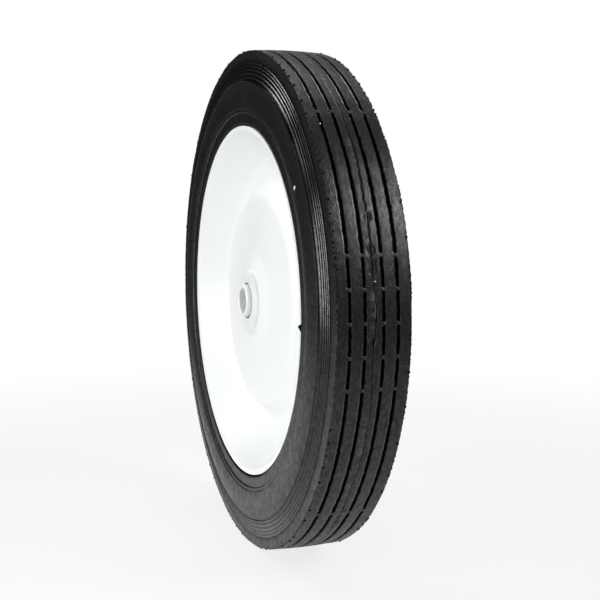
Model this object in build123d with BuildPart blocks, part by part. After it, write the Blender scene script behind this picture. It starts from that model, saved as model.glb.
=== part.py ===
from math import cos, hypot, radians, sin
import os

from build123d import *

# Lawn mower wheel: a ribbed rubber tyre on two dished steel discs, with a ball bearing in each end
# of the hub. Millimetres. The origin is the wheel's centre, the axle runs along Y, and Z is up.
# The wheel is the same on both sides: back pieces lie at +Y and front pieces are their mirror image.

# Tyre tread. The tyre's height above the rim's edge makes it 254 mm across.
tyre_height = 37.7
tread_width = 34.0
tread_crown = 0.6
groove_width = 2.0
groove_depth = 3.0
groove_taper = 0.4
inner_groove_offset = 4.2
outer_groove_offset = 10.9

# Tie bars across the tread grooves: single bars all round, and groups of bars at two of the places
bar_width = 1.6
bar_sink = 0.3
bar_root = 0.5
bar_places = 8
bar_group_size = 5
bar_group_spacing = 6.43
bar_first_angle = 0.7

# Tyre sidewall, from the tread inwards
shoulder_height = 5.5
shoulder_lean = 0.5
ridge_count = 5
ridge_spacing = 1.83
ridge_width = 1.0
ridge_height = 0.6
ridge_band_lean = 1.0
plain_band_edge = 1.1
sidewall_bulge = 1.4
sidewall_step = 0.6
bead_band_width = 6.2
bead_stand_out = 0.4
tyre_foot_depth = 11.8

# Pressed steel discs that meet at the wheel's middle and spread apart to hold the tyre
sheet = 1.4
rim_diameter = 178.6
rim_width = 37.6
lip_width = 3.0
lip_bend = 3.0
rim_slope_run = 14.8
well_width = 10.0
well_bend = 5.0
dome_flank_run = 7.5
dome_bend = 4.0
dome_rise = 2.2
boss_foot_bend = 6.0
boss_rise = 2.2
boss_run = 6.2
boss_land = 3.6
boss_bend = 2.5
tyre_seat_gap = 0.05

# Hub tube between the discs
hub_width = 28.4
tube_wall = 1.4
press_gap = 0.02

# Flanged ball bearings, and the sleeve that keeps their inner races apart
bore_diameter = 12.7
bearing_diameter = 28.55
bearing_depth = 8.6
flange_step = 1.975
flange_thickness = 1.6
flange_edge = 0.5
shield_thickness = 0.9
shield_gap = 0.9
race_collar_wall = 2.15
race_overhang = 2.45
race_edge = 0.4
shoulder_gap = 2.5
ball_diameter = 4.7625
ball_count = 8
first_ball_angle = 22.5
ball_inset = 4.3
ball_clearance = 0.05
cage_clearance = 0.35
cage_pocket_gap = 0.1
cage_back = 3.4
cage_front = 1.1
sleeve_wall = 2.1

# How far a cut runs past the surface that it opens
overrun = 1.0

# Places that follow from the sizes above
rim_radius = rim_diameter / 2
half_rim = rim_width / 2
tyre_radius = rim_radius + tyre_height
tread_edge_radius = tyre_radius - tread_crown
half_tread = tread_width / 2
bore_radius = bore_diameter / 2
bearing_radius = bearing_diameter / 2
tube_inner_radius = bearing_radius + press_gap
tube_outer_radius = tube_inner_radius + tube_wall
half_hub = hub_width / 2
bearing_inner_end = half_hub - bearing_depth
flange_face = half_hub + flange_thickness
flange_radius = bearing_radius + flange_step
race_end = flange_face + race_overhang
collar_radius = bore_radius + race_collar_wall
pitch_radius = (bore_radius + bearing_radius) / 2
ball_plane = half_hub - ball_inset
groove_radius = ball_diameter / 2 + ball_clearance
race_shoulder_radius = pitch_radius - shoulder_gap / 2
cup_shoulder_radius = pitch_radius + shoulder_gap / 2
shield_inner_face = flange_face - shield_thickness
race_shoulder_end = shield_inner_face - shield_gap

os.makedirs("parts", exist_ok=True)


# One pressed disc: the lip round the tyre, the slope down to the well, the dome and the hub boss.
# The rim's side is worked out from the rim inwards, and the boss from the hub tube outwards.
lip_foot_radius = rim_radius - lip_width
well_outer_radius = lip_foot_radius - rim_slope_run
well_inner_radius = well_outer_radius - well_width
dome_radius = well_inner_radius - dome_flank_run
boss_top_radius = tube_outer_radius + boss_land
boss_foot_radius = boss_top_radius + boss_run
boss_foot_height = half_hub - boss_rise
dome_height = boss_foot_height - dome_rise

disc_line = [
    (rim_radius, half_rim),
    (lip_foot_radius, half_rim),
    (well_outer_radius, sheet),
    (well_inner_radius, sheet),
    (dome_radius, dome_height),
    (boss_foot_radius, boss_foot_height),
    (boss_top_radius, half_hub),
    (tube_outer_radius + press_gap, half_hub),
]
disc_bends = [lip_bend, well_bend, well_bend, dome_bend, boss_foot_bend, boss_bend]

with BuildPart() as back_disc:
    with BuildSketch(Plane.XY):
        with BuildLine():
            FilletPolyline(disc_line, radius=disc_bends)
            offset(amount=sheet, side=Side.LEFT)
        make_face()
    revolve(axis=Axis.Y)

with BuildPart() as front_disc:
    mirror(back_disc.part, about=Plane.XZ)


# The tyre's foot lies along the sloping inner faces of the two discs, a hair away from them.
slope_rise = half_rim - sheet
slope = rim_slope_run / slope_rise
seat_radius = lip_foot_radius + (sheet + tyre_seat_gap) * hypot(rim_slope_run, slope_rise) / slope_rise
lip_underside = half_rim - sheet - tyre_seat_gap
seat_corner_radius = seat_radius - (half_rim - lip_underside) * slope
foot_radius = rim_radius - tyre_foot_depth
foot_half_width = half_rim - (seat_radius - foot_radius) / slope
bead_radius = rim_radius + tyre_seat_gap
bead_face = half_rim + bead_stand_out
step_radius = rim_radius + bead_band_width

ridge_band_top = tread_edge_radius - shoulder_height
ridge_band_foot = ridge_band_top - ridge_count * ridge_spacing
band_top_width = half_tread + shoulder_lean
band_foot_width = band_top_width + ridge_band_lean
plain_band_middle = (step_radius + ridge_band_foot) / 2


# A point on one sidewall's ridge band: how far below the band's top, and how far out from its face.
def ridge_band_point(drop, height, side):
    lean = ridge_band_lean * drop / (ridge_band_top - ridge_band_foot)
    return (ridge_band_top - drop, side * (band_top_width + lean + height))


with BuildPart() as tyre:
    with BuildSketch(Plane.XY) as tyre_section:
        with BuildLine():
            bead = Polyline(
                (foot_radius, 0),
                (foot_radius, foot_half_width),
                (seat_corner_radius, lip_underside),
                (bead_radius, lip_underside),
                (bead_radius, bead_face),
                (step_radius, bead_face),
                (step_radius + sidewall_step, bead_face + sidewall_step),
            )
            plain_band = ThreePointArc(
                bead @ 1,
                (plain_band_middle, bead_face + sidewall_bulge),
                (ridge_band_foot, band_foot_width + plain_band_edge),
            )
            shoulder = Polyline(
                plain_band @ 1,
                (ridge_band_foot, band_foot_width),
                (ridge_band_top, band_top_width),
                (tread_edge_radius, half_tread),
            )
            ThreePointArc(
                shoulder @ 1,
                (tyre_radius - tread_crown / 4, half_tread / 2),
                (tyre_radius, 0),
            )
            mirror(about=Plane.XZ)
        make_face()
        fillet(
            tyre_section.vertices().filter_by_position(
                Axis.X, seat_corner_radius - tyre_seat_gap, seat_corner_radius + tyre_seat_gap
            ),
            lip_bend - sheet,
        )
        for side in (-1, 1):
            for ridge in range(ridge_count):
                middle = (ridge + 0.5) * ridge_spacing
                with BuildLine():
                    Polyline(
                        ridge_band_point(middle - ridge_width / 2, -ridge_height, side),
                        ridge_band_point(middle - ridge_width / 2, 0, side),
                        ridge_band_point(middle, ridge_height, side),
                        ridge_band_point(middle + ridge_width / 2, 0, side),
                        ridge_band_point(middle + ridge_width / 2, -ridge_height, side),
                        close=True,
                    )
                make_face()
        for groove in (-outer_groove_offset, -inner_groove_offset, inner_groove_offset, outer_groove_offset):
            with BuildLine():
                Polyline(
                    (tyre_radius + overrun, groove - groove_width / 2),
                    (tyre_radius - groove_depth, groove - groove_width / 2 + groove_taper / 2),
                    (tyre_radius - groove_depth, groove + groove_width / 2 - groove_taper / 2),
                    (tyre_radius + overrun, groove + groove_width / 2),
                    close=True,
                )
            make_face(mode=Mode.SUBTRACT)
    revolve(axis=Axis.Y)
    bar_height = groove_depth - bar_sink + bar_root
    bar_radius = tyre_radius - bar_sink - bar_height / 2
    bar_length = 2 * (outer_groove_offset + groove_width / 2 + bar_root)
    for place in range(bar_places):
        grouped = place % (bar_places / 2) == 0
        for bar in range(bar_group_size if grouped else 1):
            middle = (bar_group_size - 1) / 2 if grouped else 0
            turn = bar_first_angle + place * 360 / bar_places + (bar - middle) * bar_group_spacing
            spot = (bar_radius * cos(radians(turn)), 0, bar_radius * sin(radians(turn)))
            with Locations(Location(spot, (0, -turn, 0))):
                Box(bar_height, bar_length, bar_width)


with BuildPart() as hub_tube:
    with BuildSketch(Plane.XZ.offset(-half_hub)):
        Circle(tube_outer_radius)
        Circle(tube_inner_radius, mode=Mode.SUBTRACT)
    extrude(amount=hub_width)


# The outer cup of a bearing: a flange on the hub's end, the ball track, and a shield round the race.
with BuildPart() as back_bearing_cup:
    with BuildSketch(Plane.XY) as cup_section:
        with BuildLine():
            Polyline(
                (bearing_radius, bearing_inner_end),
                (bearing_radius, half_hub),
                (flange_radius, half_hub),
                (flange_radius, flange_face),
                (collar_radius + shield_gap, flange_face),
                (collar_radius + shield_gap, shield_inner_face),
                (cup_shoulder_radius, shield_inner_face),
                (cup_shoulder_radius, bearing_inner_end),
                close=True,
            )
        make_face()
        fillet(cup_section.vertices().group_by(Axis.Y)[-1].sort_by(Axis.X)[-1], flange_edge)
        with Locations((pitch_radius, ball_plane)):
            Circle(groove_radius, mode=Mode.SUBTRACT)
    revolve(axis=Axis.Y)

with BuildPart() as front_bearing_cup:
    mirror(back_bearing_cup.part, about=Plane.XZ)


# The inner race: the ball track, and a collar that stands out past the flange to meet the frame.
with BuildPart() as back_inner_race:
    with BuildSketch(Plane.XY) as race_section:
        with BuildLine():
            Polyline(
                (bore_radius, bearing_inner_end),
                (race_shoulder_radius, bearing_inner_end),
                (race_shoulder_radius, race_shoulder_end),
                (collar_radius, race_shoulder_end),
                (collar_radius, race_end),
                (bore_radius, race_end),
                close=True,
            )
        make_face()
        chamfer(race_section.vertices().group_by(Axis.Y)[-1], race_edge)
        with Locations((pitch_radius, ball_plane)):
            Circle(groove_radius, mode=Mode.SUBTRACT)
    revolve(axis=Axis.Y)

with BuildPart() as front_inner_race:
    mirror(back_inner_race.part, about=Plane.XZ)


with BuildPart() as spacer_sleeve:
    with BuildSketch(Plane.XZ.offset(-bearing_inner_end)):
        Circle(bore_radius + sleeve_wall)
        Circle(bore_radius, mode=Mode.SUBTRACT)
    extrude(amount=2 * bearing_inner_end)


# The balls of the back bearing, evenly spaced in its ball track.
ball_spots = []
for ball in range(ball_count):
    turn = radians(first_ball_angle + ball * 360 / ball_count)
    ball_spots.append((pitch_radius * cos(turn), ball_plane, pitch_radius * sin(turn)))

# A crown cage: a ring with round pockets that the balls snap into from the hub's end.
with BuildPart() as back_cage:
    with BuildSketch(Plane.XZ.offset(-(ball_plane - cage_back))):
        Circle(cup_shoulder_radius - cage_clearance)
        Circle(race_shoulder_radius + cage_clearance, mode=Mode.SUBTRACT)
    extrude(amount=-(cage_back + cage_front))
    with Locations(ball_spots):
        Sphere(ball_diameter / 2 + cage_pocket_gap, mode=Mode.SUBTRACT)

with BuildPart() as front_cage:
    mirror(back_cage.part, about=Plane.XZ)


pieces = {
    "tyre": tyre,
    "back_disc": back_disc,
    "front_disc": front_disc,
    "hub_tube": hub_tube,
    "back_bearing_cup": back_bearing_cup,
    "front_bearing_cup": front_bearing_cup,
    "back_inner_race": back_inner_race,
    "front_inner_race": front_inner_race,
    "spacer_sleeve": spacer_sleeve,
    "back_cage": back_cage,
    "front_cage": front_cage,
}

for number, (x, y, z) in enumerate(ball_spots, start=1):
    with BuildPart() as back_ball:
        with Locations((x, y, z)):
            Sphere(ball_diameter / 2)
    with BuildPart() as front_ball:
        with Locations((x, -y, z)):
            Sphere(ball_diameter / 2)
    pieces[f"back_ball_{number}"] = back_ball
    pieces[f"front_ball_{number}"] = front_ball

for name, piece in pieces.items():
    piece.part.label = name
    export_step(piece.part, f"parts/{name}.step")
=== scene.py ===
import random
from math import cos, hypot, pi, radians, sin, sqrt, tau

import bpy
import numpy as np
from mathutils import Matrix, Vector


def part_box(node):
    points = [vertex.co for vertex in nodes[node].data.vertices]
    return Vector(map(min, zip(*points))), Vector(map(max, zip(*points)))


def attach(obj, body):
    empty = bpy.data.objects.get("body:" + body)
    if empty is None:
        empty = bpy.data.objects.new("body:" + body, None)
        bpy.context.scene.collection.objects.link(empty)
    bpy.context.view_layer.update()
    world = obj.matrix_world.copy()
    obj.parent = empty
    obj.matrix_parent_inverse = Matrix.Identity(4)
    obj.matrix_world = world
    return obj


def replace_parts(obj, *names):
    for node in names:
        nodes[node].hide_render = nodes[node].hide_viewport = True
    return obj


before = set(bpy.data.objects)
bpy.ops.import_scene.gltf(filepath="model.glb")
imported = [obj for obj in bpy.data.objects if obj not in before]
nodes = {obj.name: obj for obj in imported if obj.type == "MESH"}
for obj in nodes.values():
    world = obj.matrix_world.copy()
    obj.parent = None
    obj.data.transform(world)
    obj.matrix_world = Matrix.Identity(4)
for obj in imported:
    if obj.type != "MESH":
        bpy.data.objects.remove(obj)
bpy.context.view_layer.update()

# The wheel's sizes are in millimetres: distances out along the axle, positive towards the visible side,
# and radii. Turns round the wheel are in degrees.
MM = 0.001
SEED = 41

# Tyre, as in the solid that it stands for
TYRE_RADIUS = 127.0
TREAD_CROWN = 0.6
HALF_TREAD = 17.0
GROOVE_DEPTH = 3.0
GROOVE_MIDDLES = (10.9, 4.2, -4.2, -10.9)
RIDGE_BAND_TOP = 120.7
RIDGE_WIDTHS = (1.45, 1.6, 1.85, 2.0, 2.05)
RIDGE_HEIGHTS = (0.25, 0.25, 0.31, 0.38, 0.58)
RIDGE_BAND_FOOT = RIDGE_BAND_TOP - sum(RIDGE_WIDTHS)
BAND_TOP_WIDTH = 17.5
BAND_FOOT_WIDTH = 18.5
PLAIN_BAND_EDGE = 1.1
BEAD_FACE = 19.2
BEAD_RADIUS = 89.35
STEP_RADIUS = 95.5
SIDEWALL_STEP = 0.6
SIDEWALL_BULGE = 1.4
LIP_UNDERSIDE = 17.35
SEAT_CORNER_RADIUS = 86.97
FOOT_RADIUS = 77.5
FOOT_HALF_WIDTH = 6.22

# Tie bars across the grooves: single ones, and a group of five at two of the eight places
BAR_PLACES = 8
BAR_FIRST_ANGLE = 0.7
BAR_GROUP_SIZE = 5
BAR_GROUP_SPACING = 6.43
BAR_SINK = 0.3
BAR_TOP = 0.76
BAR_FOOT = 0.96
BAR_WEAR = 0.3

# A groove's two walls: distances from its middle, and the share of the depth there. The edge that
# faces away from the visible side is worn round, and the other one is crisp.
WORN_WALL = (
    (1.8, 0.0),
    (1.5, 0.012),
    (1.24, 0.04),
    (1.0, 0.085),
    (0.78, 0.14),
    (0.6, 0.21),
    (0.46, 0.32),
    (0.38, 0.7),
    (0.32, 0.94),
    (0.15, 1.0),
)
CRISP_WALL = (
    (0.86, 0.0),
    (0.7, 0.008),
    (0.62, 0.04),
    (0.56, 0.15),
    (0.5, 0.72),
    (0.44, 0.94),
    (0.15, 1.0),
)
# One ridge of the shoulder: shares of its width, and of its height there
RIDGE_SHAPE = (
    (0.0, 0.0),
    (0.22, 0.0),
    (0.28, 0.12),
    (0.42, 0.88),
    (0.48, 1.0),
    (0.56, 0.97),
    (0.66, 0.7),
    (0.85, 0.0),
)
# How strongly painted shade darkens the rubber in the ridges' valleys
VALLEY_PAINTED_SHADE = 0.8
# The plain strip above the ridges: distance out past the tread's edge, and radius
SHOULDER_STRIP = ((-0.1, 125.0), (0.08, 124.4), (0.3, 122.8))

# The tread's lines between its grooves, its rounded edges, and how uneven it and the sidewalls are
FRONT_RIB_LINES = (14.6, 12.9)
RIB_LINE_STEPS = (2.6, 4.2)
EDGE_ROUND = 0.4
EDGE_TUCK = (0.13, 2.2)
GROOVE_WAVER = 0.09
TREAD_SWELL = 0.04
TREAD_CLEAR = 0.01
SIDEWALL_SWELL = 0.04
SWELL_RADIUS = 104.0
SWELL_SPREAD = 7.0

# The seam along the tread's middle, and the pits in it
SEAM_HALF = 0.15
SEAM_LINES = (1.1, 0.36, SEAM_HALF, -SEAM_HALF, -0.34, -0.8)
SEAM_CREASE = 1.6
PIT_DEPTH = 1.1
PIT_HALF_LENGTH = 1.5
PIT_HALF_WIDTH = 0.5

# What a row of the tread's section belongs to, where that isn't a groove's edge
PLAIN, SEAM, TREAD_EDGE = 0, -1, -2

# Flash: the fins' heights, their leans in degrees, and where their roots lie under the rubber
FLASH_HALF_ROOT = 0.14
FLASH_TIP_SHARE = 0.3
FLASH_SUNK = 0.25
EDGE_FLASH = 0.6
EDGE_FLASH_LEAN = 4
EDGE_FLASH_IN = 0.12
EDGE_FLASH_BELOW = 0.3
BACK_FLASH_MORE = 0.4
BACK_FLASH_TOP = 0.86
SEAM_FLASH = 0.5
SEAM_FLASH_LEAN = -82
SEAM_FLASH_ASIDE = 0.5
SEAM_FLASH_BELOW = 0.22
NUB_HEIGHT = 0.9
NUB_HALF_LENGTH = 0.7

# Vent stubs and paint flecks
STUB_SIDES = 8
STUB_SUNK = 0.3
STUB_GAPS = (2.4, 3.1, 3.6, 5.5, 8.5, 12.0)
FLECK_SIDES = 10

# Marks that the photograph shows, in degrees round the wheel from the camera's side, upwards
FRONT_STUBS = (45, 33, 30, 24.6, 21.6, 18.3, 16, 13.3, 11, 6, -20, -23, -26, -29, -33, -42)
BACK_STUBS = (59, 56, 52.3, 24, 17, -1.7, -9, -16, -24.6, -33, -38)
EDGE_NUBS = (148.5, 164, 208, 231.9, 235.6, 240.3, 262)
SEAM_PITS = (21, 14.5, 12, 10.6, 3.4, 1.6, -2.6, -43, -45.6, -48, -50.4)
TORN_SEAM = (-55, 62)
TORN_EDGE = 62
# Painted shade: the turn round which the corner at the ridges' foot is darkened, where that corner lies in
# shade
PAINTED_SHADE_CORNER = 64
BACK_FLASH_LEFT = (4, 28)
# The nub at the bead: its turn, distance out and radius
BEAD_NUB = (-2.4, 19.0, 89.8)
# Each paint fleck: its turn, distance out, radius and half width
PAINT_FLECKS = (
    (33.8, 20.47, 103.2, 1.3),
    (42.1, 11.6, 126.6, 0.42),
    (8.6, -0.4, 126.9, 0.4),
    (63.5, 9.6, 126.7, 0.25),
)

# Mesh lines round the tread, round the sidewalls and along the flash
TREAD_LINES = 960
SIDEWALL_LINES = 460
FLASH_LINES = 2400

# Colours, as linear light
WHITE = (1.0, 1.0, 1.0)
RUBBER_DARK = (0.0036, 0.0031, 0.0023)
RUBBER_LIGHT = (0.0062, 0.0057, 0.005)
RUBBER_SCUFFED = (0.022, 0.0225, 0.022)
RUBBER_WORN = (0.11, 0.115, 0.118)
DUST = (0.2, 0.2, 0.195)
# Near black, painted into the rubber as shade in the ridges' valleys, in the crevice by the disc and in one
# corner
PAINTED_SHADE = (0.001, 0.001, 0.001)
TORN_DARK = (0.002, 0.002, 0.002)
TORN_LIGHT = (0.02, 0.02, 0.019)
PAINT_DARK = (0.885, 0.9, 0.89)
PAINT_LIGHT = (0.905, 0.915, 0.91)
# The floor's colour near the wheel and far off: a painted falloff of the light on it
FLOOR_NEAR = (0.9, 0.9, 0.9)
FLOOR_FAR = (0.1, 0.1, 0.1)
ROOM_COLOUR = (0.97, 0.98, 1.0)

# Each steel: its finish's name, light and dark colour, roughness, metallic share, and how fine its marks are
STEELS = {
    "plated_steel": ("plated_steel_turned", (0.95, 0.955, 0.96), (0.89, 0.895, 0.9), 0.4, 0.12, 9000),
    "cage_steel": ("cage_steel_pressed", (0.62, 0.6, 0.55), (0.5, 0.48, 0.44), 0.4, 1.0, 4000),
    "ball_steel": ("ball_steel_ground", (0.8, 0.8, 0.82), (0.72, 0.72, 0.74), 0.14, 1.0, 15000),
}

# Camera: its degrees round the wheel, and in metres how the wheel's centre lies before it
CAMERA_AZIMUTH = 69.80
CAMERA_ELEVATION = 5.65
CAMERA_DISTANCE = 0.5506
CENTRE_LEFT_OF_AXIS = 0.01283
CENTRE_ABOVE_AXIS = 0.00031
LENS = 63.09
SENSOR = 36.0

# Each lamp: its place to the right, up and back along the camera's axes, its size, power and colour
LAMPS = {
    "side_lamp": (-1.05, 0.1, 0.7, 0.8, 13.8, (0.985, 1.0, 0.985)),
    "key_lamp": (1.08, 0.82, 0.7, 0.5, 10.0, (0.93, 0.98, 1.0)),
    "top_lamp": (-0.12, 1.2, -0.32, 0.8, 3.4, (0.93, 1.0, 0.96)),
    "rim_lamp": (-0.75, 0.9, -0.3, 0.36, 3.2, WHITE),
    "slant_lamp": (-0.95, 0.88, 0.28, 0.45, 1.3, WHITE),
    "back_lamp": (0.45, 0.82, -0.66, 0.2, 0.9, WHITE),
}
# Half the floor's width, in metres
FLOOR_HALF = 12.0


def smooth(value, low, high):
    """0 below low, 1 above high, and a smooth step between."""
    share = np.clip((value - low) / (high - low), 0, 1)
    return share * share * (3 - 2 * share)


def ripple(turn, seed, waves, low, high):
    """An uneven wave round the wheel that meets itself after one turn, with a root mean square of about
    0.7. It sums some waves with low to high crests each, and seed tells it from the others."""
    draw = random.Random(SEED + seed)
    total = np.zeros_like(turn)
    for _ in range(waves):
        total += np.sin(turn * draw.randint(low, high) + draw.uniform(0, tau))
    return total / sqrt(waves)


def wheel_piece(name, points, faces, marks=None, crisp=False):
    """A piece that turns with the wheel. marks holds, by name, values of 0 to 1 for each point that its
    material reads, and crisp keeps its edges sharp."""
    mesh = bpy.data.meshes.new(name)
    mesh.from_pydata(points, [], faces)
    mesh.update()
    mesh.shade_smooth()
    if crisp:
        mesh.set_sharp_from_angle(angle=radians(40))
    for mark, values in (marks or {}).items():
        mesh.attributes.new(mark, "FLOAT", "POINT").data.foreach_set("value", np.ravel(values))
    piece = bpy.data.objects.new(name, mesh)
    bpy.context.scene.collection.objects.link(piece)
    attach(piece, "wheel")
    return piece


def ring(name, points, marks, crisp=False):
    """A rubber surface round the axle, from points[line, row, axis]."""
    lines, rows = points.shape[:2]
    index = np.arange(lines * rows).reshape(lines, rows)
    after = np.roll(index, -1, axis=0)
    faces = np.stack((index[:, :-1], index[:, 1:], after[:, 1:], after[:, :-1]), axis=-1)
    faces = faces.reshape(-1, 4).tolist()
    return wheel_piece(name, points.reshape(-1, 3).tolist(), faces, marks, crisp)


def wheel_points(turn, out, radius):
    """Points of the row frame, in metres, from the turn round the axle, the distance out and the radius.
    The side that the photograph shows lies at -Y."""
    return np.stack((radius * np.cos(turn), -out, radius * np.sin(turn)), axis=-1) * MM


def wheel_spot(turn, out, radius):
    """One such point, and the directions there: away from the axle, and round it."""
    spot = Vector(wheel_points(turn, out, radius))
    return spot, Vector((cos(turn), 0, sin(turn))), Vector((-sin(turn), 0, cos(turn)))


def drum_faces(start, sides):
    """The faces of a small drum: its sides, between three rings of points from start on, and its top."""
    faces = []
    for level in range(2):
        for step in range(sides):
            a = start + level * sides + step
            b = start + level * sides + (step + 1) % sides
            faces.append((a, b, b + sides, a + sides))
    faces.append(tuple(start + 2 * sides + step for step in range(sides)))
    return faces


# The tread


def tread_radius(out):
    """The crowned tread's radius, without its grooves."""
    return TYRE_RADIUS - TREAD_CROWN * (out / HALF_TREAD) ** 2


def tread_rows():
    """The tread from front to back: distance out, drop below the crown, share of the grooves' depth, and
    the number of the groove's edge, counted from 1, or PLAIN, SEAM or TREAD_EDGE."""
    beyond, below = EDGE_TUCK
    edge = [(HALF_TREAD + beyond, below, 0.0, PLAIN)]
    edge += [
        (HALF_TREAD - EDGE_ROUND * (1 - cos(turn)), EDGE_ROUND * (1 - sin(turn)), 0.0, TREAD_EDGE)
        for turn in np.radians((0, 22, 45, 68, 90))
    ]
    rows = edge + [(out, 0.0, 0.0, PLAIN) for out in FRONT_RIB_LINES]
    for number, middle in enumerate(GROOVE_MIDDLES):
        rows += [(middle + aside, 0.0, share, 2 * number + 1) for aside, share in WORN_WALL]
        rows += [(middle - aside, 0.0, share, 2 * number + 2) for aside, share in reversed(CRISP_WALL)]
        if number == 1:
            rows += [(aside, 0.0, 0.0, SEAM) for aside in SEAM_LINES]
        else:
            rows += [(middle - step, 0.0, 0.0, PLAIN) for step in RIB_LINE_STEPS]
    return np.array(rows + [(-out, *rest) for out, *rest in reversed(edge)])


def seam_place(turn):
    """How far out the seam along the tread's middle lies. It wanders."""
    return 0.1 + 0.42 * ripple(turn, 5, 8, 4, 38) + 0.16 * ripple(turn, 6, 12, 60, 260)


def torn_edge(turn, side):
    """How far in from its place the edge of the tread lies, where the flash took some rubber with it."""
    coarse = smooth(ripple(turn, 90 + side, 12, 8, 60), -0.9, 1.0)
    fine = smooth(ripple(turn, 94 + side, 18, 90, 330), -0.9, 1.1)
    seen = 0.25 + 0.75 * smooth(np.cos(turn - radians(TORN_EDGE)), 0.75, 0.98)
    return (0.1 + 0.42 * coarse) * fine * seen


def torn_seam(turn):
    """1 where the seam's flash was torn off, and less elsewhere."""
    degrees = np.degrees((turn + pi) % tau - pi)
    low, high = TORN_SEAM
    return 0.25 + 0.75 * smooth(degrees, low, low + 12) * (1 - smooth(degrees, high - 12, high))


def seam_pits(turn):
    """Nearly 1 at the pits where bits of rubber came out of the seam, and 0 elsewhere."""
    pits = np.zeros_like(turn)
    for degrees in SEAM_PITS:
        away = ((turn - radians(degrees) + pi) % tau - pi) * TYRE_RADIUS
        pits = np.maximum(pits, np.exp(-((away / PIT_HALF_LENGTH) ** 4)))
    return pits


def seam_wear(turn):
    """How pale the rubber beside the seam is, in patches, with none at the pits."""
    patches = torn_seam(turn) * smooth(ripple(turn, 23, 14, 9, 90), -0.1, 1.0)
    patches *= 1 - seam_pits(turn)
    return patches * (0.2 + 0.8 * smooth(ripple(turn, 25, 18, 90, 400), -0.6, 0.8))


def bar_turns():
    """The turn of every tie bar's middle."""
    turns = []
    for place in range(BAR_PLACES):
        grouped = place % (BAR_PLACES // 2) == 0
        for bar in range(BAR_GROUP_SIZE if grouped else 1):
            aside = (bar - (BAR_GROUP_SIZE - 1) / 2) * BAR_GROUP_SPACING if grouped else 0
            turns.append(radians(BAR_FIRST_ANGLE + place * 360 / BAR_PLACES + aside) % tau)
    return turns


def bar_share(turn):
    """1 on top of the tie bars, 0 between them, and a smooth step over their ends."""
    nearest = np.full(len(turn), TYRE_RADIUS * pi)
    for bar in bar_turns():
        nearest = np.minimum(nearest, np.abs((turn - bar + pi) % tau - pi) * TYRE_RADIUS)
    return 1 - smooth(nearest, BAR_TOP, BAR_FOOT)


def tread_turns():
    """Even lines round the tread, and closer ones at the tie bars' tops and feet."""
    lines = list(np.linspace(0, tau, TREAD_LINES, endpoint=False))
    for turn in bar_turns():
        for offset in (BAR_TOP - 0.08, BAR_TOP + 0.04, BAR_FOOT):
            lines += [(turn + side * offset / TYRE_RADIUS) % tau for side in (-1, 1)]
    return np.array(sorted(lines))


def groove_waver(turn, edge):
    """How unevenly each edge of each groove strays from its true circle, before GROOVE_WAVER."""
    waver = np.zeros((len(turn), len(edge)))
    for number in range(1, 2 * len(GROOVE_MIDDLES) + 1):
        uneven = ripple(turn, 30 + number, 12, 30, 170) + 1.1 * ripple(turn, 50 + number, 16, 170, 420)
        waver[:, edge == number] = uneven[:, None]
    return waver


def make_tread():
    """The tread with its grooves, tie bars, torn edges and seam. Its grooves' odd edges are the worn ones."""
    turn = tread_turns()
    out, drop, share, edge = tread_rows().T
    bar_here = bar_share(turn)[:, None]
    depth = GROOVE_DEPTH - (GROOVE_DEPTH - BAR_SINK) * bar_here
    walls = (share < 0.9) * (1 - bar_here)
    on_seam = edge == SEAM
    place = out + GROOVE_WAVER * groove_waver(turn, edge) * walls + seam_place(turn)[:, None] * on_seam
    for side in (1, -1):
        place -= side * torn_edge(turn, side)[:, None] * (edge == TREAD_EDGE) * (out * side > 0)
    open_seam = torn_seam(turn) * smooth(ripple(turn, 24, 12, 14, 120), -1.7, -0.2)
    crease = SEAM_CREASE * open_seam[:, None] * (on_seam * (np.abs(out) == SEAM_HALF))
    crease += PIT_DEPTH * seam_pits(turn)[:, None] * (on_seam * (np.abs(out) < PIT_HALF_WIDTH))
    swell = TREAD_SWELL * ripple(turn, 70, 14, 8, 90)[:, None]
    crown = np.minimum(tread_radius(out) - TREAD_SWELL + swell, TYRE_RADIUS - TREAD_CLEAR)
    height = crown - drop - share * depth - crease
    worn = BAR_WEAR * bar_here * (share > 0.5) + seam_wear(turn)[:, None] * on_seam * (out > SEAM_HALF)
    polished = (edge % 2 == 1) * (edge > 0) * (share > 0) * (share < 0.5) * (1 - bar_here)
    marks = {"worn": worn, "polished": polished}
    return ring("tread", wheel_points(turn[:, None], place, height), marks)


# The shoulders, the sidewalls and the beads


def arc_through(start, middle, end, steps):
    """Points on the arc through three points, without its two ends."""
    a, b, c = (np.array(p, float) for p in (start, middle, end))
    left = np.array([b - a, c - a]) * 2
    centre = np.linalg.solve(left, [b @ b - a @ a, c @ c - a @ a])
    first, last = (np.arctan2(*(p - centre)[::-1]) for p in (a, c))
    radius = hypot(*(a - centre))
    return [
        tuple(centre + radius * np.array([np.cos(t), np.sin(t)]))
        for t in np.linspace(first, last, steps + 2)[1:-1]
    ]


def ridge_rows():
    """The shoulder's plain strip and the fine ridges below it, which grow towards the axle: distance out,
    radius, and how much painted shade darkens the rubber there, which is in the valleys."""
    rows = [(HALF_TREAD + beyond, radius, 0) for beyond, radius in SHOULDER_STRIP]
    band = sum(RIDGE_WIDTHS)
    top = 0.0
    for width, tall in zip(RIDGE_WIDTHS, RIDGE_HEIGHTS):
        for share, height in RIDGE_SHAPE:
            drop = top + share * width
            lean = (BAND_FOOT_WIDTH - BAND_TOP_WIDTH) * drop / band
            # Painted shade: the valley rows are marked for darkening, where the ridges shade them
            valley_shade = VALLEY_PAINTED_SHADE if height == 0 else 0
            rows.append((BAND_TOP_WIDTH + lean + tall * height, RIDGE_BAND_TOP - drop, valley_shade))
        top += width
    return rows


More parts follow.
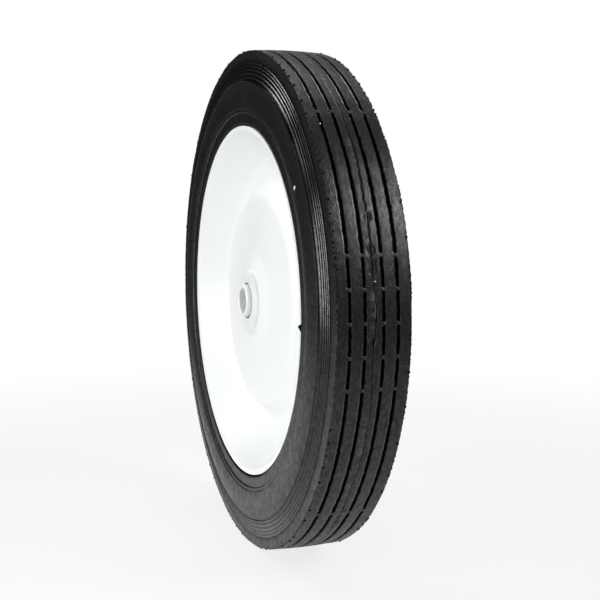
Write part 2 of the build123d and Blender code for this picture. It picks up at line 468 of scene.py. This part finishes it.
def sidewall_rows():
    """From the ridges' foot past the thin line to the bead, and on to the hidden foot between the discs:
    distance out and radius."""
    rows = [
        (BAND_FOOT_WIDTH + share * PLAIN_BAND_EDGE, RIDGE_BAND_FOOT - below)
        for share, below in ((-0.3, -0.1), (0.5, 0.0), (0.82, 0.1), (0.96, 0.3))
    ]
    edge = (BAND_FOOT_WIDTH + PLAIN_BAND_EDGE, RIDGE_BAND_FOOT - 0.6)
    step = (BEAD_FACE + SIDEWALL_STEP, STEP_RADIUS + SIDEWALL_STEP)
    middle = (BEAD_FACE + SIDEWALL_BULGE, (edge[1] + STEP_RADIUS) / 2)
    line = (step[0] + 0.18, step[1] + 1.35)
    rows += [edge, *arc_through(edge, middle, line, 9), line]
    rows += [(line[0] - share, line[1] - below) for share, below in ((0.16, 0.2), (0.22, 0.4), (0.16, 0.6))]
    rows += [
        (step[0] + 0.04, step[1] + 0.35),
        step,
        (BEAD_FACE + 0.32, STEP_RADIUS + 0.22),
        (BEAD_FACE + 0.06, STEP_RADIUS + 0.02),
        (BEAD_FACE, STEP_RADIUS - 0.3),
        (BEAD_FACE, (BEAD_RADIUS + STEP_RADIUS) / 2),
        (BEAD_FACE, BEAD_RADIUS + 1.8),
        (BEAD_FACE - 0.1, BEAD_RADIUS + 1.3),
        (BEAD_FACE - 0.4, BEAD_RADIUS + 0.8),
        (BEAD_FACE - 1.0, BEAD_RADIUS + 0.35),
        (LIP_UNDERSIDE, BEAD_RADIUS),
        (LIP_UNDERSIDE, SEAT_CORNER_RADIUS + 1.0),
        (LIP_UNDERSIDE - 1.0, SEAT_CORNER_RADIUS - 0.85),
        (FOOT_HALF_WIDTH, FOOT_RADIUS),
    ]
    return rows


def make_sidewalls():
    """Both sidewalls and the foot between them, from under the tread's back edge to under its front edge."""
    half = ridge_rows() + [(*row, 0) for row in sidewall_rows()]
    section = np.array([(-out, radius, valley_shade) for out, radius, valley_shade in half] + half[::-1])
    turn = np.linspace(0, tau, SIDEWALL_LINES, endpoint=False)[:, None]
    out, radius, valley_shade = section.T
    bulge = np.exp(-(((radius - SWELL_RADIUS) / SWELL_SPREAD) ** 2))
    bulge = bulge * np.sign(out) * (np.abs(out) > BEAD_FACE)
    swell = (SIDEWALL_SWELL * ripple(turn, 80, 9, 3, 24) - 2 * SIDEWALL_SWELL) * bulge
    marks = {"valley_shade": valley_shade + 0 * turn}
    return ring("sidewalls", wheel_points(turn, out + swell, radius + 0 * turn), marks)


# Flash along the mould's joints, vent stubs and paint flecks


def make_flash(name, out, radius, lean, tall, turn, worn):
    """A thin torn fin round the tyre. out, tall and worn hold one value for each turn, and lean is the
    fin's tilt towards the front from straight up, in degrees."""
    up, aside = cos(radians(lean)), sin(radians(lean))
    half_tip = FLASH_HALF_ROOT * FLASH_TIP_SHARE
    outline = (
        (FLASH_HALF_ROOT, -FLASH_SUNK),
        (half_tip, tall),
        (-half_tip, tall),
        (-FLASH_HALF_ROOT, -FLASH_SUNK),
    )
    rings = [
        wheel_points(turn, out + across * up + rise * aside, radius - across * aside + rise * up)
        for across, rise in outline
    ]
    marks = {"worn": np.repeat(worn[:, None], len(rings), axis=1)}
    return ring(name, np.stack(rings, axis=1), marks, crisp=True)


def ragged(turn, seed):
    """Heights of torn flash, 0 to 1: a low lip nearly everywhere, with taller torn bits."""
    coarse = smooth(ripple(turn, seed, 10, 4, 45), -0.9, 1.1)
    fine = smooth(ripple(turn, seed + 1, 18, 150, 560), -0.8, 1.0)
    return 0.1 + (0.25 + 0.65 * coarse) * fine


def edge_flash_height(turn, side):
    """Ragged all round, with some nubs on the front edge and a taller stretch on the back edge."""
    tall = EDGE_FLASH * ragged(turn, 11 + side)
    if side > 0:
        for degrees in EDGE_NUBS:
            away = (turn - radians(degrees)) * TYRE_RADIUS
            tall += NUB_HEIGHT * np.exp(-((away / NUB_HALF_LENGTH) ** 2))
        return tall
    start, end = np.radians(BACK_FLASH_LEFT)
    left = smooth(turn, start, start + 0.03) * (1 - smooth(turn, end - 0.03, end))
    return np.minimum(tall + BACK_FLASH_MORE * left * (0.4 + ragged(turn, 17)), BACK_FLASH_TOP)


def make_all_flash():
    """Fins along the mould's joints: one at each edge of the tread, and a torn one along its middle."""
    turn = np.linspace(0, tau, FLASH_LINES, endpoint=False)
    fins = []
    for side, name in ((1, "front"), (-1, "back")):
        out = side * (HALF_TREAD - EDGE_FLASH_IN - torn_edge(turn, side))
        base = tread_radius(HALF_TREAD) - EDGE_FLASH_BELOW
        lean, tall = side * EDGE_FLASH_LEAN, edge_flash_height(turn, side)
        fins.append(make_flash(f"{name}_edge_flash", out, base, lean, tall, turn, np.zeros_like(turn)))
    tall = SEAM_FLASH * torn_seam(turn) * ragged(turn, 21)
    worn = torn_seam(turn) * smooth(ripple(turn, 23, 9, 12, 70), 0.0, 1.0)
    out = seam_place(turn) + SEAM_FLASH_ASIDE
    base = TYRE_RADIUS - SEAM_FLASH_BELOW
    fins.append(make_flash("middle_flash", out, base, SEAM_FLASH_LEAN, tall, turn, worn))
    return fins


def stub_turns(seen, draw):
    """The stubs that the photograph shows, and others like them round the rest of the wheel."""
    degrees = list(seen)
    at = max(seen) + 4
    while at < 360 + min(seen) - 4:
        degrees.append(at)
        at += draw.choice(STUB_GAPS)
    return degrees


def make_vent_stubs():
    """Short rubber stubs that the mould's vents leave along both edges of the tread."""
    draw = random.Random(SEED)
    points, faces = [], []
    for side, seen in ((1, FRONT_STUBS), (-1, BACK_STUBS)):
        for degrees in stub_turns(seen, draw):
            out = side * (HALF_TREAD - draw.uniform(0.4, 0.9))
            tall = draw.uniform(0.3, 0.5)
            spot, up, along = wheel_spot(radians(degrees), out, tread_radius(out) - STUB_SUNK)
            start = len(points)
            for wide, rise in ((0.58, 0.0), (0.52, STUB_SUNK + tall * 0.7), (0.34, STUB_SUNK + tall)):
                for step in range(STUB_SIDES):
                    angle = step * tau / STUB_SIDES
                    offset = along * cos(angle) * wide + Vector((0, 1, 0)) * sin(angle) * wide
                    points.append(tuple(spot + (offset + up * rise) * MM))
            faces += drum_faces(start, STUB_SIDES)
            faces.append(tuple(start + step for step in reversed(range(STUB_SIDES))))
    return wheel_piece("vent_stubs", points, faces, crisp=True)


def make_bead_nub():
    """A pointed bit of flash that hangs from the bead over the disc's edge: its foot's corners and point."""
    degrees, out, radius = BEAD_NUB
    turns = radians(degrees) + np.array((-1.8, 0.0, 1.8, 0.0, 0.3)) / radius
    outs = out + np.array((0.0, 0.7, 0.0, -0.7, 0.2))
    radii = radius - np.array((0.0, 0.0, 0.0, 0.0, 3.4))
    points = wheel_points(turns, outs, radii).tolist()
    return wheel_piece("bead_nub", points, [(0, 1, 4), (1, 2, 4), (2, 3, 4), (3, 0, 4), (3, 2, 1, 0)])


def make_paint_flecks():
    """Small drops of the discs' white paint on the tyre, where the photograph shows white specks."""
    points, faces = [], []
    outward = Vector((0, -1, 0))
    for degrees, out, radius, wide in PAINT_FLECKS:
        centre, up, along = wheel_spot(radians(degrees), out, radius)
        normal, across = (outward, up) if radius < RIDGE_BAND_TOP else (up, outward)
        start = len(points)
        for size, rise in ((1.0, -0.3), (0.8, 0.05), (0.4, 0.1)):
            for step in range(FLECK_SIDES):
                angle = step * tau / FLECK_SIDES
                uneven = wide * size * (1 + 0.2 * sin(3 * angle + degrees))
                spot = along * cos(angle) * uneven * 0.8 + across * sin(angle) * uneven + normal * rise
                points.append(tuple(centre + spot * MM))
        faces += drum_faces(start, FLECK_SIDES)
    return wheel_piece("paint_flecks", points, faces)


# Materials


class Nodes:
    """Short ways to make the nodes of one tree. place is the position or direction that they start from."""

    def __init__(self, tree, coordinates):
        self.tree = tree
        self.place = self.node("ShaderNodeTexCoord").outputs[coordinates]

    def node(self, kind, inputs=None, **settings):
        """A node of one kind, with values or links for its inputs, by name or number, and its settings."""
        made = self.tree.nodes.new(kind)
        for name, value in settings.items():
            setattr(made, name, value)
        for socket, value in (inputs or {}).items():
            self.put(made.inputs[socket], value)
        return made

    def put(self, socket, value):
        """Sets a socket to a value, or links it to another node's output. A colour is made opaque."""
        if isinstance(value, bpy.types.NodeSocket):
            self.tree.links.new(value, socket)
        else:
            socket.default_value = (*value, 1.0) if socket.type == "RGBA" else value

    def math(self, operation, *values):
        return self.node("ShaderNodeMath", dict(enumerate(values)), operation=operation).outputs[0]

    def times(self, first, second):
        return self.math("MULTIPLY", first, second)

    def plus(self, first, second):
        return self.math("ADD", first, second)

    def most(self, first, second):
        return self.math("MAXIMUM", first, second)

    def weighted(self, *terms):
        """The sum of some values, each times its weight."""
        total, *others = [self.times(value, weight) for value, weight in terms]
        for other in others:
            total = self.plus(total, other)
        return total

    def scaled(self, factors):
        """The place, stretched along its axes."""
        return self.node("ShaderNodeVectorMath", {0: self.place, 1: factors}, operation="MULTIPLY").outputs[0]

    def noise(self, scale, detail, roughness, place=None):
        inputs = {"Vector": place or self.place, "Scale": scale, "Detail": detail, "Roughness": roughness}
        return self.node("ShaderNodeTexNoise", inputs).outputs["Fac"]

    def step(self, value, low, high, start=0.0, end=1.0):
        """start where the value is below low, end where it is above high, and a smooth step between."""
        inputs = {"Value": value, "From Min": low, "From Max": high, "To Min": start, "To Max": end}
        return self.node("ShaderNodeMapRange", inputs, interpolation_type="SMOOTHSTEP").outputs[0]

    def mix(self, share, first, second):
        return self.node("ShaderNodeMix", {0: share, 6: first, 7: second}, data_type="RGBA").outputs[2]

    def mark(self, name):
        """The values of 0 to 1 that a piece's points hold under a name."""
        return self.node("ShaderNodeAttribute", attribute_name=name).outputs["Fac"]

    def bump(self, height, distance, strength):
        inputs = {"Strength": strength, "Distance": distance, "Height": height}
        return self.node("ShaderNodeBump", inputs).outputs[0]

    def blend(self, share, first, second):
        """The first shader where the share is 0, and the second where it is 1."""
        return self.node("ShaderNodeMixShader", {0: share, 1: first, 2: second}).outputs[0]

    def ray(self, kind):
        return self.node("ShaderNodeLightPath").outputs[f"Is {kind} Ray"]

    def facing(self, direction):
        """The cosine between the place, as seen from the wheel's centre, and a direction."""
        unit = self.node("ShaderNodeVectorMath", {0: self.place}, operation="NORMALIZE").outputs[0]
        made = self.node("ShaderNodeVectorMath", {0: unit, 1: direction}, operation="DOT_PRODUCT")
        return made.outputs["Value"]

    def axes(self):
        """The place's three coordinates."""
        return self.node("ShaderNodeSeparateXYZ", {0: self.place}).outputs

    def length(self, first, second):
        return self.math("SQRT", self.plus(self.times(first, first), self.times(second, second)))

    def polar(self):
        """The radius, the turn's cosine and sine, and the place along the axle, anywhere on the wheel."""
        x, y, z = self.axes()
        radius = self.length(x, z)
        return radius, self.math("DIVIDE", x, radius), self.math("DIVIDE", z, radius), y

    def streaks(self, scale, turns):
        """Noise drawn out round the axle, as turning marks are."""
        radius, cosine, sine, y = self.polar()
        along = self.times(self.plus(radius, y), scale)
        joined = self.node(
            "ShaderNodeCombineXYZ", {0: self.times(cosine, turns), 1: self.times(sine, turns), 2: along}
        )
        return self.noise(1.0, 2.0, 0.6, joined.outputs[0])


class Finish(Nodes):
    """One material. Positions are the object's own, in metres, so a finish moves with its piece."""

    def __init__(self, name, **sockets):
        self.material = bpy.data.materials.new(name)
        self.material.use_nodes = True
        super().__init__(self.material.node_tree, "Object")
        self.shader = self.tree.nodes["Principled BSDF"]
        self.surface = self.tree.nodes["Material Output"].inputs["Surface"]
        self.shade(**sockets)

    def shade(self, **sockets):
        """Sets or links inputs of the shader, with an underscore for each space in a name."""
        for socket, value in sockets.items():
            self.put(self.shader.inputs[socket.replace("_", " ")], value)

    def radius_step(self, radius, low, high, start=0.0, end=1.0):
        """A step between two radii, which are given in millimetres."""
        return self.step(radius, low * MM, high * MM, start, end)


def unshaded_share(finish, radius, cosine, sine):
    """1 on unshaded rubber, and less where shade is painted into the rubber: in the ridges' valleys, in the
    crevice beside the disc's edge, and in the corner at the ridges' foot, only round the turn given above,
    where that corner lies in shade."""
    # Painted shade in the corner at the ridges' foot, kept to one side of the wheel
    corner = finish.times(
        finish.radius_step(radius, RIDGE_BAND_FOOT - 0.75, RIDGE_BAND_FOOT - 0.65),
        finish.radius_step(radius, RIDGE_BAND_FOOT + 0.05, RIDGE_BAND_FOOT + 0.15, 1.0, 0.0),
    )
    side = radians(PAINTED_SHADE_CORNER)
    toward_side = finish.weighted((sine, sin(side)), (cosine, cos(side)))
    corner = finish.times(corner, finish.step(toward_side, 0.91, 0.96))
    # Painted shadow in the crevice where the bead meets the disc's edge
    unshaded = finish.radius_step(radius, BEAD_RADIUS + 0.35, BEAD_RADIUS + 1.65)
    unshaded = finish.times(unshaded, finish.step(corner, 0.0, 1.0, 1.0, 0.06))
    # Painted shade in the ridges' valleys, from the values that the points hold
    return finish.times(unshaded, finish.math("SUBTRACT", 1.0, finish.mark("valley_shade")))


def rubber():
    """Black rubber, mottled and a little dusty, paler where a piece's own values say that it is worn, and
    near black with less shine where shade is painted in. The band of ridges is smoother than the tread and
    the sidewalls."""
    finish = Finish("moulded_rubber")
    radius, cosine, sine, _ = finish.polar()
    mottle = finish.noise(70, 5, 0.6)
    blotch = finish.noise(330, 4, 0.65, finish.scaled((1.0, 1.6, 1.0)))
    grain = finish.noise(1100, 3, 0.75)
    speck = finish.step(finish.noise(1900, 1, 0.5), 0.75, 0.8)
    polished = finish.mark("polished")
    rough_skin = finish.most(
        finish.radius_step(radius, RIDGE_BAND_TOP - 0.2, RIDGE_BAND_TOP + 0.3, 0.12, 1.0),
        finish.radius_step(radius, RIDGE_BAND_FOOT - 0.55, RIDGE_BAND_FOOT - 0.05, 1.0, 0.0),
    )
    unshaded = unshaded_share(finish, radius, cosine, sine)

    colour = finish.mix(finish.step(mottle, 0.3, 0.7), RUBBER_DARK, RUBBER_LIGHT)
    scuff = finish.times(finish.step(blotch, 0.5, 0.75, 0.0, 0.5), rough_skin)
    colour = finish.mix(scuff, colour, RUBBER_SCUFFED)
    colour = finish.mix(finish.times(finish.mark("worn"), 0.8), colour, RUBBER_WORN)
    colour = finish.mix(finish.times(speck, 0.6), colour, DUST)

    uneven = finish.weighted((blotch, 0.5), (grain, 0.5))
    # Painted shade: where the unshaded share is low, the shine drops here and the colour goes near black
    # below
    shine = finish.times(finish.step(uneven, 0.36, 0.64, 0.32, 0.74), unshaded)
    polish = finish.times(
        finish.step(rough_skin, 0.12, 1.0, 0.62, 1.0), finish.step(polished, 0.0, 1.0, 1.0, 0.6)
    )
    marks = finish.streaks(1500, 6)
    relief = finish.weighted((blotch, 0.00022), (mottle, 0.00035), (grain, 0.00016), (marks, 0.00003))
    finish.shade(
        Base_Color=finish.mix(unshaded, PAINTED_SHADE, colour),
        Specular_IOR_Level=finish.most(shine, polished),
        Roughness=finish.times(finish.step(uneven, 0.35, 0.65, 0.46, 0.3), polish),
        Normal=finish.bump(finish.times(relief, rough_skin), 1.0, 0.8),
    )
    return finish.material


def torn_rubber():
    """The matt black ends of flash and vent stubs that were torn off."""
    finish = Finish("torn_rubber", Roughness=0.85, Specular_IOR_Level=0.08)
    crumbs = finish.noise(2500, 2, 0.6)
    finish.shade(
        Base_Color=finish.mix(finish.step(crumbs, 0.45, 0.8), TORN_DARK, TORN_LIGHT),
        Normal=finish.bump(crumbs, 0.0002, 0.8),
    )
    return finish.material


def white_paint():
    """The discs' sprayed paint: half gloss, slightly cloudy, with a faint peel."""
    finish = Finish("white_paint", Coat_Weight=0.12, Coat_Roughness=0.25)
    cloud = finish.noise(30, 3, 0.5)
    peel = finish.noise(260, 2, 0.5)
    finish.shade(
        Base_Color=finish.mix(cloud, PAINT_DARK, PAINT_LIGHT),
        Roughness=finish.step(cloud, 0.3, 0.7, 0.38, 0.46),
        Normal=finish.bump(peel, 0.00003, 0.3),
    )
    return finish.material


def steel(name, light, dark, roughness, metallic, line_scale):
    """Turned and plated steel: fine marks round the axle, and a slightly cloudy plating."""
    finish = Finish(name, Metallic=metallic)
    marks = finish.streaks(line_scale, 3)
    cloud = finish.noise(220, 3, 0.5)
    finish.shade(
        Base_Color=finish.mix(finish.step(cloud, 0.3, 0.75), dark, light),
        Roughness=finish.step(marks, 0.2, 0.8, roughness - 0.06, roughness + 0.08),
        Normal=finish.bump(marks, 0.00002, 0.6),
    )
    return finish.material


def dress(paint):
    """Each node that shows as itself gets the finish of its material."""
    finishes = {"white_paint": paint}
    for slot, values in STEELS.items():
        finishes[slot] = steel(*values)
    for node in nodes.values():
        named = node.data.materials[0].name
        if named in finishes:
            node.material_slots[0].material = finishes[named]


# The room


def make_floor():
    """A pale floor under the tyre. To the camera it is white, apart from the shadow near the wheel. Its
    colour darkens away from the wheel, a painted falloff of light, and to glossy rays it glows white near the
    wheel, most toward the camera's left, a painted bright floor for the tyre to mirror.
    """
    half = FLOOR_HALF
    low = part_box("tyre")[0].z
    mesh = bpy.data.meshes.new("floor")
    corners = [(-half, -half, low), (half, -half, low), (half, half, low), (-half, half, low)]
    mesh.from_pydata(corners, [], [(0, 1, 2, 3)])
    floor = bpy.data.objects.new("floor", mesh)
    bpy.context.scene.collection.objects.link(floor)
    finish = Finish("pale_floor", Roughness=0.9, Specular_IOR_Level=0.1)
    x, y, _ = finish.axes()
    away = finish.length(x, y)
    spread = finish.math("POWER", away, 0.5)
    # Painted falloff: the floor's colour darkens with distance from the wheel
    finish.shade(Base_Color=finish.mix(finish.step(spread, 0.3, 1.0), FLOOR_NEAR, FLOOR_FAR))
    glow = finish.node("ShaderNodeEmission", {"Color": WHITE})
    seen = finish.times(finish.ray("Camera"), finish.step(away, 0.15, 0.6, 0.8, 1.0))
    # Painted light: to glossy rays the floor glows white near the wheel, most toward the camera's left
    near = finish.step(spread, 0.35, 0.95, 0.75, 0.03)
    near = finish.times(near, finish.step(finish.facing(toward(-1, 0, 0)), -0.4, 0.5, 0.3, 1.0))
    mirrored = finish.times(finish.ray("Glossy"), finish.most(near, backdrop(finish)))
    share = finish.most(seen, mirrored)
    finish.put(finish.surface, finish.blend(share, finish.shader.outputs[0], glow.outputs[0]))
    mesh.materials.append(finish.material)


def backdrop(tree):
    """How bright the pale backdrop behind the wheel is in one direction: 0 toward the rest of the room."""
    return tree.step(tree.facing(toward(0.15, 0.1, -1)), 0.86, 0.95, 0.0, 0.75)


def make_world():
    """A dim, even room for the light on the wheel. The camera sees white all round, and glossy
    surfaces mirror a white backdrop behind the wheel."""
    world = bpy.data.worlds.new("room")
    bpy.context.scene.world = world
    world.use_nodes = True
    sky = Nodes(world.node_tree, "Generated")
    room = sky.tree.nodes["Background"]
    sky.put(room.inputs["Color"], ROOM_COLOUR)
    sky.put(room.inputs["Strength"], sky.step(sky.facing(toward(0.7, 0, 0.7)), -0.3, 0.9, 0.02, 0.2))
    white = sky.node("ShaderNodeBackground", {"Color": WHITE})
    mirrored = sky.times(sky.ray("Glossy"), backdrop(sky))
    seen = sky.most(sky.ray("Camera"), sky.ray("Transmission"))
    surface = sky.blend(sky.most(seen, mirrored), room.outputs[0], white.outputs[0])
    sky.put(sky.tree.nodes["World Output"].inputs["Surface"], surface)


def camera_axes():
    """The camera's right, up and forward directions in the row frame."""
    a, e = radians(CAMERA_AZIMUTH), radians(CAMERA_ELEVATION)
    right = Vector((cos(a), sin(a), 0))
    forward = Vector((-sin(a) * cos(e), cos(a) * cos(e), -sin(e)))
    return right, right.cross(forward), forward


def toward(right, up, back):
    """A direction of length 1, given along the camera's axes."""
    axis_right, axis_up, forward = camera_axes()
    return (axis_right * right + axis_up * up - forward * back).normalized()


def make_lamp(name, right, up, back, size, power, colour):
    """A soft square lamp that faces the wheel. Its place is given along the camera's axes, in metres."""
    axis_right, axis_up, forward = camera_axes()
    spot = axis_right * right + axis_up * up - forward * back
    data = bpy.data.lights.new(name, "AREA")
    data.size = size
    data.energy = power
    data.color = colour
    lamp = bpy.data.objects.new(name, data)
    lamp.location = spot
    lamp.rotation_mode = "QUATERNION"
    lamp.rotation_quaternion = (-spot).to_track_quat("-Z", "Y")
    bpy.context.scene.collection.objects.link(lamp)


def make_camera():
    """The camera that took the photograph, as fitted to the grooves and the rim."""
    right, up, forward = camera_axes()
    data = bpy.data.cameras.new("camera")
    data.lens = LENS
    data.sensor_width = SENSOR
    data.clip_start = 0.01
    camera = bpy.data.objects.new("camera", data)
    camera.location = right * CENTRE_LEFT_OF_AXIS - up * CENTRE_ABOVE_AXIS - forward * CAMERA_DISTANCE
    camera.rotation_mode = "QUATERNION"
    camera.rotation_quaternion = forward.to_track_quat("-Z", "Y")
    bpy.context.scene.collection.objects.link(camera)
    bpy.context.scene.camera = camera


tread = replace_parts(make_tread(), "tyre")
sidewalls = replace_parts(make_sidewalls(), "tyre")
moulded, torn, paint = rubber(), torn_rubber(), white_paint()
front_flash, back_flash, middle_flash = make_all_flash()
for piece in (tread, sidewalls, middle_flash):
    piece.data.materials.append(moulded)
for piece in (front_flash, back_flash, make_vent_stubs(), make_bead_nub()):
    piece.data.materials.append(torn)
make_paint_flecks().data.materials.append(paint)
dress(paint)

make_floor()
make_world()
make_camera()
for name, values in LAMPS.items():
    make_lamp(name, *values)
bpy.context.scene.view_settings.view_transform = "Standard"
